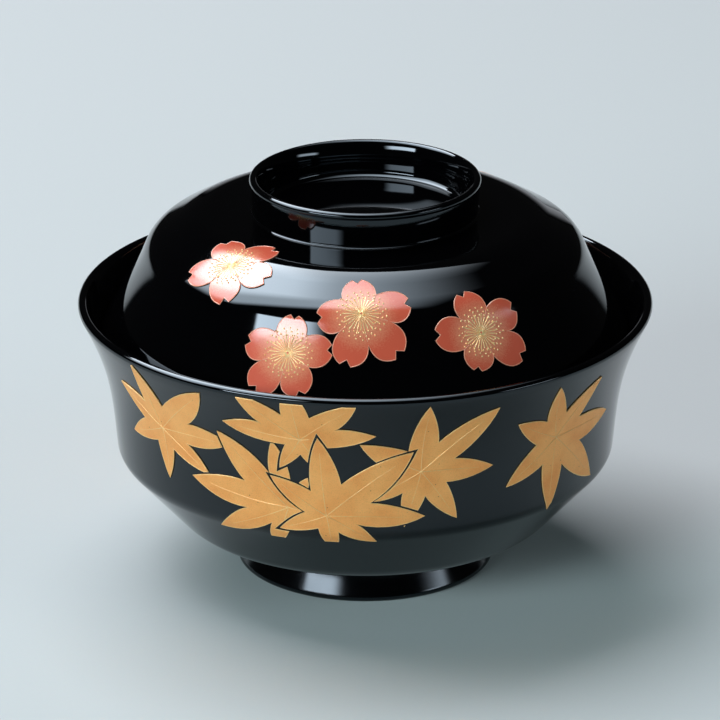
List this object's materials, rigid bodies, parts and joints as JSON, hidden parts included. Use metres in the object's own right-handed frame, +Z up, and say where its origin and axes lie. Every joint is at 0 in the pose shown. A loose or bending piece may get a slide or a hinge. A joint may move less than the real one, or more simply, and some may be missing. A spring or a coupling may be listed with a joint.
{
  "type": "lidded soup bowl",
  "caption": "Black lacquered soup bowl with a flared rim, a foot ring and a lift-off lid that has a grip ring, with gold maple leaves on the wall and red cherry blossoms on the lid.",
  "frame": {"origin": "middle of the foot ring's underside, on the surface that the bowl stands on", "axes": "+Z up along the axis that the bowl and the lid are turned about; the side with most of the leaves and blossoms faces -Y"},
  "size_m": [0.121, 0.121, 0.0854],
  "materials": {
    "black_lacquer": "gloss lacquer over turned wood",
    "gold_lacquer": "raised lacquer dusted with gold",
    "red_lacquer": "raised lacquer, red shaded to pale red",
    "pale_gold_lacquer": "raised lacquer lines dusted with pale gold"
  },
  "bodies": {
    "bowl_body": {"bowl": "black_lacquer", "maple_leaves": "gold_lacquer"},
    "lid_body": {"lid": "black_lacquer", "cherry_petals": "red_lacquer", "cherry_stamens": "pale_gold_lacquer"}
  },
  "joints": [
    {"name": "lid_lift", "type": "slide", "parent": "bowl_body", "child": "lid_body", "axis": [0, 0, 1], "range_m": [0, 0.06]}
  ]
}
